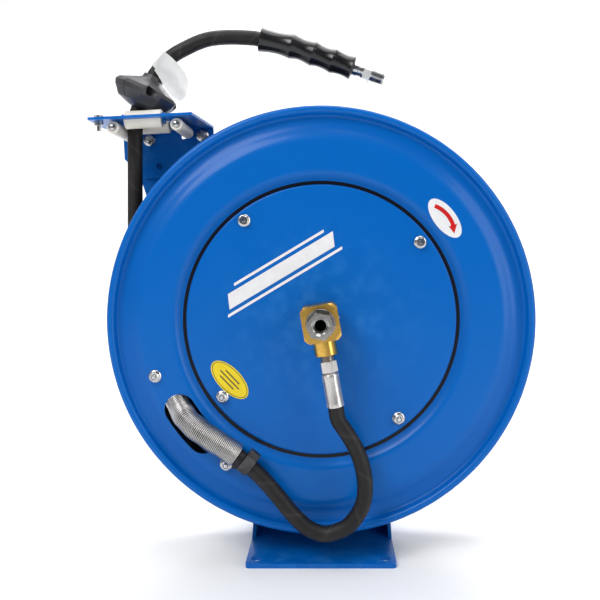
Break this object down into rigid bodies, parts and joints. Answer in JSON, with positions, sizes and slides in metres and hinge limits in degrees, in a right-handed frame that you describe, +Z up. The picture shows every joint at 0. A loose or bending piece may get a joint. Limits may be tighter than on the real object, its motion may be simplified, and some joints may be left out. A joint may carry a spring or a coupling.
{
  "type": "spring-rewind hose reel",
  "caption": "Wall or floor mounted spring-rewind hose reel: a spool with a swivel inlet on a pedestal, with a ratchet, a roller hose guide and a hose with a stop and grip.",
  "frame": {"origin": "on the floor under the axle, in the middle plane of the spool", "axes": "+Z up, -Y out of the spool's inlet side, +X to the right as seen from the inlet side"},
  "size_m": [0.5057, 0.2091, 0.6102],
  "materials": {
    "blue_paint": "glossy powder coat",
    "zinc_plate": "zinc plated",
    "steel": "turned",
    "spring_steel": "oil tempered",
    "brass": "machined",
    "bronze": "sintered",
    "hose_rubber": "fabric marked rubber",
    "seal_rubber": "moulded",
    "black_plastic": "moulded",
    "nylon": "turned nylon",
    "tag_vinyl": "blank vinyl"
  },
  "bodies": {
    "stand": {"foot_plate": "blue_paint", "upright": "blue_paint", "axle": "steel", "axle_washer": "zinc_plate", "axle_nut": "zinc_plate", "guide_arm": "blue_paint", "arm_bolt_1": "zinc_plate", "arm_bolt_2": "zinc_plate", "guide_plate": "blue_paint", "guide_bolt_left": "zinc_plate", "guide_bolt_right": "zinc_plate", "keeper_bolt": "zinc_plate", "front_pin": "zinc_plate", "rear_pin": "zinc_plate", "left_pin": "zinc_plate", "right_pin": "zinc_plate", "pawl_pin": "zinc_plate", "pawl_spring": "spring_steel", "spring_arbor": "steel", "hose_lead": "hose_rubber", "stop_half_left": "black_plastic", "stop_half_right": "black_plastic", "stop_screw_front": "zinc_plate", "stop_screw_back": "zinc_plate", "hose_tag": "tag_vinyl", "hose_grip": "hose_rubber", "end_fitting": "zinc_plate"},
    "spool": {"front_disc": "blue_paint", "back_disc": "blue_paint", "drum": "blue_paint", "front_cover": "blue_paint", "back_wall": "blue_paint", "bush_front": "bronze", "bush_back": "bronze", "mainspring": "spring_steel", "ratchet_wheel": "zinc_plate", "cover_nut_1": "zinc_plate", "cover_nut_2": "zinc_plate", "cover_nut_3": "zinc_plate", "cover_nut_4": "zinc_plate", "slot_bolt": "zinc_plate", "clamp_bolt": "zinc_plate", "swivel_body": "brass", "swivel_locknut": "zinc_plate", "retaining_ring": "steel", "outlet_nipple": "zinc_plate", "hose_ferrule": "zinc_plate", "hose_pigtail": "hose_rubber", "hose_coil": "hose_rubber", "spring_guard": "zinc_plate", "hose_clamp": "black_plastic"},
    "swivel_stem": {"swivel_stem": "steel", "stem_seal": "seal_rubber"},
    "pawl": {"pawl": "zinc_plate"},
    "front_roller": {"front_roller": "nylon"},
    "rear_roller": {"rear_roller": "nylon"},
    "left_roller": {"left_roller": "nylon"},
    "right_roller": {"right_roller": "nylon"}
  },
  "joints": [
    {"name": "spool_turn", "type": "hinge", "parent": "stand", "child": "spool", "pos_m": [0, 0, 0.27], "axis": [0, 1, 0], "continuous": true},
    {"name": "stem_swivel", "type": "hinge", "parent": "spool", "child": "swivel_stem", "pos_m": [0, -0.0755, 0.27], "axis": [0, 1, 0], "continuous": true},
    {"name": "pawl_tip", "type": "hinge", "parent": "stand", "child": "pawl", "pos_m": [0.045, 0.05, 0.1985], "axis": [0, 1, 0], "range_deg": [0, 7]},
    {"name": "front_roller_turn", "type": "hinge", "parent": "stand", "child": "front_roller", "pos_m": [-0.2062, -0.021, 0.49983], "axis": [0.9986, 0, 0.0523], "continuous": true},
    {"name": "rear_roller_turn", "type": "hinge", "parent": "stand", "child": "rear_roller", "pos_m": [-0.2062, 0.021, 0.49983], "axis": [0.9986, 0, 0.0523], "continuous": true},
    {"name": "left_roller_turn", "type": "hinge", "parent": "stand", "child": "left_roller", "pos_m": [-0.23895, 0, 0.4886], "axis": [0, 1, 0], "continuous": true},
    {"name": "right_roller_turn", "type": "hinge", "parent": "stand", "child": "right_roller", "pos_m": [-0.16605, 0, 0.49242], "axis": [0, 1, 0], "continuous": true}
  ]
}
